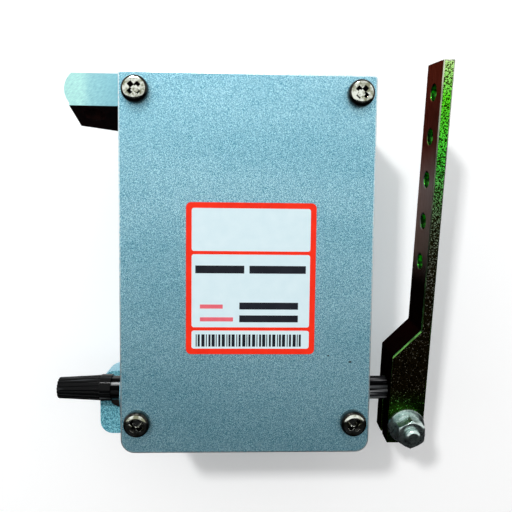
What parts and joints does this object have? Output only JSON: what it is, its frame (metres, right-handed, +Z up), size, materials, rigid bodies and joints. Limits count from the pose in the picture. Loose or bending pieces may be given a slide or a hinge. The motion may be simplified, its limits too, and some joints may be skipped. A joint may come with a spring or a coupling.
{
  "type": "engine governor actuator",
  "caption": "Electric rotary actuator in a cast box housing with side lugs; its spring-returned output shaft turns a perforated clamp lever that works an engine's fuel linkage.",
  "frame": {"origin": "on the housing's rear face, on its centre line and level with the output shaft", "axes": "+Z up along the housing, +Y out of the rear face, +X along the shaft towards the lever; the cover faces -Y"},
  "size_m": [0.1576, 0.0651, 0.16],
  "materials": {
    "cast_paint": "fine-textured silver-blue paint on a light-alloy casting",
    "gasket_rubber": "cut sheet gasket",
    "polished_steel": "polished plated pan heads",
    "label_film": "printed film label, red frame and pale panels, no lettering",
    "pole_iron": "soft iron, oiled",
    "plain_steel": "plain plated steel",
    "bobbin_plastic": "moulded nylon",
    "copper_winding": "enamelled copper wire",
    "lead_insulation": "insulated wire",
    "bearing_steel": "ground bearing steel",
    "spring_steel": "spring steel",
    "seal_rubber": "moulded seal rubber",
    "black_steel": "blackened steel",
    "cap_plastic": "moulded black plastic, satin",
    "lever_plating": "yellow-green chromate over zinc plating",
    "zinc_plate": "bright zinc plating",
    "connector_metal": "plated light alloy",
    "insert_plastic": "moulded insulation",
    "contact_plating": "gold-plated contacts"
  },
  "bodies": {
    "case": {"housing": "cast_paint", "cover": "cast_paint", "cover_gasket": "gasket_rubber", "cover_screws": "polished_steel", "label": "label_film", "rear_pole_plate": "pole_iron", "magnet_core": "pole_iron", "front_pole_plate": "pole_iron", "core_screws": "plain_steel", "magnet_screws": "plain_steel", "coil_bobbin": "bobbin_plastic", "coil_winding": "copper_winding", "coil_leads": "lead_insulation", "left_bearing_outer_ring": "bearing_steel", "left_bearing_balls": "bearing_steel", "right_bearing_outer_ring": "bearing_steel", "right_bearing_balls": "bearing_steel", "left_shaft_seal": "seal_rubber", "right_shaft_seal": "seal_rubber", "return_spring": "spring_steel", "connector_gasket": "gasket_rubber", "connector_shell": "connector_metal", "connector_insert": "insert_plastic", "connector_contacts": "contact_plating", "connector_screws": "plain_steel"},
    "rotor": {"output_shaft": "black_steel", "armature": "pole_iron", "armature_pin": "plain_steel", "left_bearing_inner_ring": "bearing_steel", "right_bearing_inner_ring": "bearing_steel", "retaining_rings": "spring_steel", "stop_pin": "plain_steel", "shaft_cap": "cap_plastic", "lever": "lever_plating", "clamp_bolt": "zinc_plate", "flat_washer": "zinc_plate", "spring_washer": "zinc_plate", "clamp_nut": "zinc_plate"}
  },
  "joints": [
    {"name": "output_shaft_turn", "type": "hinge", "parent": "case", "child": "rotor", "pos_m": [0, -0.023, 0], "axis": [1, 0, 0], "range_deg": [0, 25], "stiffness_Nm_per_rad": 1.6, "springref_deg": -12.61, "deforming": ["return_spring"]}
  ]
}
